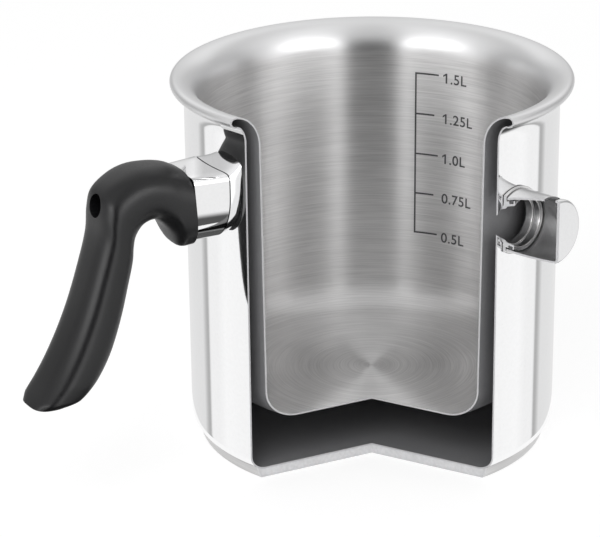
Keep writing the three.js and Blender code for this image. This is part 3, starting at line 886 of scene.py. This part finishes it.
def sleeve_prism(sizes, handle, start, end, inset, points):
    """Straight piece of the sleeve's section between two distances, drawn in on every side."""
    middle = sleeve_top_height(sizes, handle) - handle.sleeve_height / 2
    rise = handle.sleeve_height / 2 - inset

    def half_width(reach):
        part = (reach - sizes.wall_radius) / handle.sleeve_top
        return handle.sleeve_root + (handle.sleeve_end - handle.sleeve_root) * part - inset

    ring = section(points, *SLEEVE_SECTION)
    draw_face([handle_point(start, middle + rise * up, half_width(start) * across) for across, up in ring])
    extrude(handle_point(end - start, 0))
    ratio = half_width(end) / half_width(start)
    bpy.ops.transform.resize(value=(1, ratio, 1), center_override=handle_point(end, middle))
    return close_mesh()


class BOILER_OT_handle_sleeve(bpy.types.Operator):
    """Models the polished sleeve between wall and grip"""

    bl_idname = "boiler.handle_sleeve"
    bl_label = "Handle Sleeve"

    def execute(self, context):
        sizes = context.scene.boiler_sizes
        handle = context.scene.handle_sizes
        wall = sizes.wall_radius
        start, end = wall - BURIED, wall + 16 * MM
        hollow_start, hollow_end = wall - 8 * MM, wall + 20 * MM
        sleeve = sleeve_prism(sizes, handle, start, end, 0, SLEEVE_POINTS)
        self.trim_at_seam(sleeve, sizes, handle)
        combine(sleeve, sleeve_prism(sizes, handle, hollow_start, hollow_end, handle.sleeve_sheet,
                                     SLEEVE_POINTS))
        cut_wall(sleeve, sizes)
        give_finish(sleeve, "mirror_steel")
        finish_piece(sleeve, "handle_sleeve_polished", "pot", "handle_sleeve")
        return {"FINISHED"}

    def trim_at_seam(self, piece, sizes, handle):
        """Cuts everything past the leaning seam."""
        top = sleeve_top_height(sizes, handle)
        high, low = [handle_point(seam_reach(sizes, handle, height), height)
                     for height in (top, top - handle.sleeve_height)]
        normal = (high - low).cross(ALONG_Y).normalized()
        if normal.x > 0:
            normal.negate()
        select_only(piece)
        bpy.ops.object.mode_set(mode="EDIT")
        bpy.ops.mesh.select_all(action="SELECT")
        bpy.ops.mesh.bisect(plane_co=high, plane_no=normal, use_fill=True, clear_outer=True)
        close_mesh()


class BOILER_OT_grip(bpy.types.Operator):
    """Models the black grip with its collar, arch, hand part and screw hole"""

    bl_idname = "boiler.grip"
    bl_label = "Grip"

    def execute(self, context):
        sizes = context.scene.boiler_sizes
        handle = context.scene.handle_sizes
        grip = self.make_body(sizes, handle)
        seam = sizes.wall_radius + handle.sleeve_top
        inset = handle.sleeve_sheet + sizes.fit_gap
        nose_start, nose_end = seam - handle.nose_length - 1 * MM, seam + 3 * MM
        combine(grip, sleeve_prism(sizes, handle, nose_start, nose_end, inset, NOSE_POINTS), "UNION")
        turning = (HANDLE_STEPS, *screw_frame(sizes, handle))
        far = seam + handle.grip_reach
        before_nose = seam - 12 * MM
        combine(grip, rod(handle.screw_hole, seam + handle.screw_seat, far, *turning))
        combine(grip, rod(handle.shank + sizes.fit_gap, before_nose, far, *turning))
        give_finish(grip, "moulded_plastic")
        finish_piece(grip, "grip_moulded", "pot", "grip", GRIP_FLAT_EDGE)
        return {"FINISHED"}

    def make_body(self, sizes, handle):
        """Section carried along the grip's outline, turned and sized at every step."""
        seam = sizes.wall_radius + handle.sleeve_top + sizes.fit_gap
        crown = sleeve_top_height(sizes, handle) + handle.grip_rise
        tops, unders = [
            smooth_row([(seam + pair[side][0] * handle.grip_reach, crown - pair[side][1] * handle.grip_drop)
                        for pair in GRIP_OUTLINE], GRIP_STEPS)
            for side in (0, 1)]
        rings = []
        for step in range(GRIP_STEPS + 1):
            place = step / GRIP_STEPS * (len(GRIP_OUTLINE) - 1)
            before = min(int(place), len(GRIP_OUTLINE) - 2)
            widths = [GRIP_OUTLINE[before + k][2] for k in (0, 1)]
            half = handle.grip_half_width * (widths[0] + (widths[1] - widths[0]) * (place - before))
            middle = (tops[step] + unders[step]) / 2
            rise = tops[step] - middle
            rings.append((handle_point(*middle), rise.length, Vector((0, 1)).angle_signed(rise), half))
        middle, rise, lean, half = rings[0]
        outline = section(GRIP_POINTS, *GRIP_SECTION)
        draw_face([middle + Vector((0, across * half, up * rise)) for across, up in outline])
        self.turn(lean, middle)
        for new_middle, new_rise, new_lean, new_half in rings[1:]:
            extrude(new_middle - middle)
            self.turn(-lean, new_middle)
            bpy.ops.transform.resize(value=(1, new_half / half, new_rise / rise), center_override=new_middle)
            self.turn(new_lean, new_middle)
            middle, rise, lean, half = new_middle, new_rise, new_lean, new_half
        return close_mesh()

    def turn(self, lean, middle):
        """Leans the selected section about the Y axis."""
        bpy.ops.transform.rotate(value=lean, orient_axis="Y", center_override=middle)


class BOILER_OT_screw(bpy.types.Operator):
    """Models the stud, the long screw and its spring washer"""

    bl_idname = "boiler.screw"
    bl_label = "Handle Screw"

    def execute(self, context):
        sizes = context.scene.boiler_sizes
        handle = context.scene.handle_sizes
        turning = (HANDLE_STEPS, *screw_frame(sizes, handle))
        height = sleeve_top_height(sizes, handle) - handle.screw_drop
        seat = sizes.wall_radius + handle.sleeve_top + handle.screw_seat
        self.make_washer(sizes, handle, turning, seat + sizes.bond_gap)
        self.make_screw(sizes, handle, turning, seat + 2 * sizes.bond_gap + handle.washer_thickness, height)
        stud_mouth = seam_reach(sizes, handle, height - handle.stud) - handle.nose_length - sizes.fit_gap
        self.make_stud(sizes, handle, turning, stud_mouth)
        return {"FINISHED"}

    def make_washer(self, sizes, handle, turning, start):
        """Washer with a split."""
        inner = handle.shank + sizes.fit_gap
        outer = handle.washer
        end = start + handle.washer_thickness
        soft = 0.15 * MM
        washer = turned([(inner, start), (outer - soft, start), (outer, start + soft), (outer, end - soft),
                         (outer - soft, end), (inner, end), (inner, start)], *turning)
        split = block((4 * MM, 0.6 * MM, 4 * MM))
        split.location = turning[1] + handle_point((start + end) / 2, outer)
        split.rotation_euler.z = radians(30)
        combine(washer, split)
        give_finish(washer, "zinc_steel")
        finish_piece(washer, "spring_washer_split", "pot", "spring_washer")

    def make_screw(self, sizes, handle, turning, seat, height):
        """Screw with a domed head, a hexagon socket and a ridged thread."""
        tip = seam_reach(sizes, handle, height) - handle.nose_length - handle.stud_bore
        thread_end = tip + 3.2 * MM
        tip_share, root_share, skirt_share, crown_share, socket_share = 0.7, 0.86, 0.6, 0.55, 0.3
        soft = 0.2 * MM
        profile = [(0, tip), (handle.shank * tip_share, tip)]
        ridge = handle.thread_pitch
        place = tip + ridge / 2
        while place < thread_end:
            profile += [(handle.shank, place), (handle.shank * root_share, place + ridge / 2)]
            place += ridge
        skirt = seat + handle.head_height * skirt_share
        profile += [(handle.shank, place), (handle.shank, seat), (handle.head - soft, seat)]
        profile += [(handle.head, seat + soft), (handle.head, skirt)]
        profile += arc((handle.head * crown_share, skirt), handle.head * (1 - crown_share), 0, 90,
                       DOME_STEPS, handle.head_height * (1 - skirt_share))[1:]
        profile += [(0, seat + handle.head_height)]
        screw = turned(profile, *turning)
        socket_radius, past_head = 2 * MM, seat + 9 * MM
        combine(screw, rod(socket_radius, seat + handle.head_height * socket_share, past_head, HEXAGON,
                           *turning[1:]))
        give_finish(screw, "zinc_steel")
        finish_piece(screw, "handle_screw_socket", "pot", "handle_screw")

    def make_stud(self, sizes, handle, turning, mouth):
        """Threaded boss on the wall."""
        start = sizes.wall_radius - BURIED
        foot_end = sizes.wall_radius + handle.stud_foot_thickness
        bottom = mouth - handle.stud_bore
        soft = 0.3 * MM
        bore = handle.shank + 0.3 * MM
        foot, radius = handle.stud_foot, handle.stud
        stud = turned([
            (0, start), (foot, start), (foot, foot_end - soft), (foot - soft, foot_end),
            (radius, foot_end), (radius, mouth - soft), (radius - soft, mouth),
            (bore, mouth), (bore, bottom), (0, bottom),
        ], *turning)
        cut_wall(stud, sizes)
        give_finish(stud, "zinc_steel")
        finish_piece(stud, "weld_stud_boss", "pot", "weld_stud")


class BOILER_OT_volume_scale(bpy.types.Operator):
    """Models the etched volume scale on the inner wall"""

    bl_idname = "boiler.volume_scale"
    bl_label = "Volume Scale"

    def execute(self, context):
        sizes = context.scene.boiler_sizes
        scale = context.scene.scale_sizes
        top = sizes.rim_height - scale.top_drop
        span = scale.spacing * (len(VOLUME_LABELS) - 1) + scale.line
        made = [self.bar(0, top - span / 2 + scale.line / 2, scale.line, span, UPRIGHT_CELLS)]
        for number, label in enumerate(VOLUME_LABELS):
            height = top - number * scale.spacing
            tick = scale.short_tick if number % 2 else scale.long_tick
            made.append(self.bar(tick / 2, height, tick, scale.line, TICK_CELLS))
            made += self.figures(label, scale.text_gap, height - scale.text_drop, scale.text_size)
        for mark in made:
            self.press_on_wall(mark, sizes, scale)
        select_only(made[0])
        for mark in made[1:]:
            mark.select_set(True)
        bpy.ops.object.join()
        marks = bpy.context.object
        give_finish(marks, "scale_ink")
        finish_piece(marks, "volume_scale", "pot", None)
        return {"FINISHED"}

    def bar(self, across, height, width, rise, cells):
        """Thin grid in the XY plane, across to the right and height upwards."""
        clear_selection()
        columns, rows = (cells, 1) if width > rise else (1, cells)
        bpy.ops.mesh.primitive_grid_add(x_subdivisions=columns, y_subdivisions=rows, size=1, location=ORIGIN)
        grid = bpy.context.object
        grid.scale = (width, rise, 1)
        grid.location = (across, height, 0)
        apply_transform()
        return grid

    def figures(self, label, across, height, size):
        """Flat figures in the XY plane, made a mesh, with a flag on a leading one."""
        clear_selection()
        bpy.ops.object.text_add(location=ORIGIN)
        text = bpy.context.object
        text.data.body = label
        text.data.size = size
        text.data.align_y = "CENTER"
        text.data.space_character = 1.06
        text.data.offset = 0.012 * size
        text.location = (across, height, 0)
        bpy.ops.object.convert(target="MESH")
        apply_transform()
        text = bpy.context.object
        if label[0] != "1":
            return [text]
        left = min(vertex.co.x for vertex in text.data.vertices)
        top = max(vertex.co.y for vertex in text.data.vertices if vertex.co.x < left + 0.05 * size)
        flag = Vector((0.2, 0.14, 0)) * size
        stroke = Vector((0, 0.13 * size, 0))
        high = Vector((left + 0.02 * size, top, 0))
        draw_face([high, high - stroke, high - flag - stroke, high - flag])
        return [text, close_mesh()]

    def press_on_wall(self, mark, sizes, scale):
        """Stands a flat mark up inside the pot and presses it on the wall."""
        places = [vertex.co.x for vertex in mark.data.vertices]
        across = (min(places) + max(places)) / 2
        wall = sizes.wall_radius - sizes.shell_sheet - sizes.pot_sheet - sizes.jacket_top_gap
        out = level_direction(scale.direction - across / wall)
        standing = Matrix((UP.cross(-out), UP, -out)).transposed().to_4x4()
        before_wall = Matrix.Translation(out * (wall - 6 * MM))
        mark.matrix_world = before_wall @ standing @ Matrix.Translation((-across, 0, 0))
        change(mark, "SHRINKWRAP", target=bpy.data.objects["inner_pot_brushed"], wrap_method="PROJECT",
               use_project_z=True, use_negative_direction=True, use_positive_direction=False,
               offset=INK_LIFT, wrap_mode="ABOVE_SURFACE")
        select_only(mark)
        apply_transform()


class BOILER_OT_stage(bpy.types.Operator):
    """Makes the floor, the light and the camera"""

    bl_idname = "boiler.stage"
    bl_label = "Stage"

    def execute(self, context):
        studio = context.scene.studio_settings
        self.make_camera(context, studio)
        self.make_floor(studio)
        self.make_bright_disc()
        self.make_world(context, studio)
        self.make_lamp(studio)
        context.scene.view_settings.view_transform = "Standard"
        return {"FINISHED"}

    def make_camera(self, context, studio):
        """Camera at the photograph's place."""
        level = Vector((sin(studio.camera_turn), -cos(studio.camera_turn), 0)) * studio.camera_reach
        clear_selection()
        bpy.ops.object.camera_add(location=level + UP * studio.camera_height)
        camera = bpy.context.object
        camera.data.lens = studio.lens
        place = Matrix.Translation(camera.location)
        for turn, axis in ((studio.camera_turn, "Z"), (pi / 2 - studio.camera_pitch, "X"),
                           (studio.camera_aside, "Y")):
            place = place @ Matrix.Rotation(turn, 4, axis)
        camera.matrix_world = place
        context.scene.camera = camera

    def add_disc(self, name, finish_name, vertices, radius, drop):
        """Flat disc below the pot with a material of its own, as (object, node tree)."""
        clear_selection()
        bpy.ops.mesh.primitive_circle_add(vertices=vertices, radius=radius, fill_type="NGON",
                                          location=-UP * drop)
        disc = bpy.context.object
        disc.name = name
        material = bpy.data.materials.new(finish_name)
        material.use_nodes = True
        disc.data.materials.append(material)
        return disc, material.node_tree

    def make_floor(self, studio):
        """Pale floor that stays white to the camera and keeps a soft shadow."""
        floor, tree = self.add_disc("floor", "floor_white", 128, 6, 0.2 * MM)
        shader = tree.nodes["Principled BSDF"]
        wire(tree, shader, {"Base Color": studio.floor, "Roughness": 0.9, "Specular IOR Level": 0})
        glow = new_node(tree, "Emission", {"Strength": studio.glow_strength})
        camera_ray = new_node(tree, "LightPath").outputs["Is Camera Ray"]
        seen = maths(tree, "MULTIPLY", camera_ray, studio.floor_glow)
        mixed = mix_shaders(tree, seen, shader.outputs[0], glow.outputs[0])
        wire(tree, tree.nodes["Material Output"], {"Surface": mixed})
        floor.visible_glossy = False

    def make_bright_disc(self):
        """White disc under the pot that only reflections show, so the shell's corner stays light."""
        disc, tree = self.add_disc("bright_disc", "disc_white", 96, 84 * MM, 0.1 * MM)
        wire(tree, tree.nodes["Material Output"], {"Surface": new_node(tree, "Emission").outputs[0]})
        disc.visible_camera = False
        disc.visible_diffuse = False
        disc.visible_transmission = False
        disc.visible_shadow = False

    def make_world(self, context, studio):
        """White room whose reflection has soft dark bands, as between studio screens."""
        world = bpy.data.worlds.new("white_room")
        context.scene.world = world
        world.use_nodes = True
        tree = world.node_tree
        tree.nodes.clear()
        place = new_node(tree, "TexCoord").outputs["Generated"]
        facing = (0, 0, pi / 2 - studio.camera_turn)
        faced = new_node(tree, "Mapping", {0: place, "Rotation": facing}, vector_type="POINT")
        sweep = new_node(tree, "TexGradient", {0: faced.outputs[0]}, gradient_type="RADIAL").outputs["Fac"]
        low, high, top = [self.bands(tree, sweep, stops) for stops in (LOW_BANDS, HIGH_BANDS, TOP_BANDS)]
        height = new_node(tree, "SeparateXYZ", {0: place}).outputs[2]
        walls = mix_colours(tree, map_range(tree, height, *LOW_TO_HIGH), low, high)
        room = mix_colours(tree, map_range(tree, height, *HIGH_TO_TOP), walls, top)
        depth_light = map_range(tree, height, *FLOOR_FADE, FLOOR_LEVEL)
        mirrored = new_node(tree, "Background", {"Color": room, "Strength": depth_light})
        plain = new_node(tree, "Background", {"Strength": studio.room_light})
        white = new_node(tree, "Background")
        rays = new_node(tree, "LightPath").outputs
        lit = mix_shaders(tree, rays["Is Glossy Ray"], plain.outputs[0], mirrored.outputs[0])
        seen = maths(tree, "MAXIMUM", rays["Is Camera Ray"], rays["Is Transmission Ray"])
        new_node(tree, "OutputWorld", {"Surface": mix_shaders(tree, seen, lit, white.outputs[0])})

    def bands(self, tree, sweep, stops):
        """Colour of grey bands that are alike on both sides of the camera's direction."""
        node = new_node(tree, "ValToRGB", {0: sweep})
        elements = node.color_ramp.elements
        elements.remove(elements[0])
        places = sorted({(0.5 + side * turn / 360, level) for turn, level in stops for side in (-1, 1)})
        for number, (place, level) in enumerate(places):
            stop = elements.new(place) if number else elements[0]
            stop.position = place
            stop.color = (level, level, level, 1)
        return node.outputs[0]

    def make_lamp(self, studio):
        """Large soft lamp from the upper left of the camera."""
        clear_selection()
        bpy.ops.object.light_add(type="AREA", location=LAMP_PLACE)
        lamp = bpy.context.object
        lamp.visible_glossy = False
        lamp.data.size = LAMP_SIZE
        lamp.data.energy = studio.key_light
        lamp.rotation_euler = (LAMP_AIM - LAMP_PLACE).to_track_quat("-Z", "Y").to_euler()


class BOILER_PT_panel(bpy.types.Panel):
    """Lists the boiler's pieces"""

    bl_idname = "BOILER_PT_panel"
    bl_label = "Milk Boiler"
    bl_space_type = "VIEW_3D"
    bl_region_type = "UI"
    bl_category = "Milk Boiler"

    def draw(self, context):
        for operator in OPERATORS:
            self.layout.operator(operator.bl_idname)


OPERATORS = (
    BOILER_OT_stage,
    BOILER_OT_outer_shell,
    BOILER_OT_inner_pot,
    BOILER_OT_volume_scale,
    BOILER_OT_base,
    BOILER_OT_spout,
    BOILER_OT_handle_sleeve,
    BOILER_OT_grip,
    BOILER_OT_screw,
)
GROUPS = {
    "boiler_sizes": BoilerSizes,
    "spout_sizes": SpoutSizes,
    "handle_sizes": HandleSizes,
    "scale_sizes": ScaleSizes,
    "boiler_finishes": BoilerFinishes,
    "studio_settings": StudioSettings,
}


def register():
    """Registers the property groups, the operators and the panel."""
    for name, group in GROUPS.items():
        bpy.utils.register_class(group)
        setattr(bpy.types.Scene, name, PointerProperty(type=group))
    for operator in OPERATORS:
        bpy.utils.register_class(operator)
    bpy.utils.register_class(BOILER_PT_panel)


def unregister():
    """Removes what register adds."""
    bpy.utils.unregister_class(BOILER_PT_panel)
    for operator in reversed(OPERATORS):
        bpy.utils.unregister_class(operator)
    for name, group in GROUPS.items():
        delattr(bpy.types.Scene, name)
        bpy.utils.unregister_class(group)


def main():
    """Makes the boiler."""
    register()
    for operator in OPERATORS:
        family, name = operator.bl_idname.split(".")
        getattr(getattr(bpy.ops, family), name)()


if __name__ == "__main__":
    main()
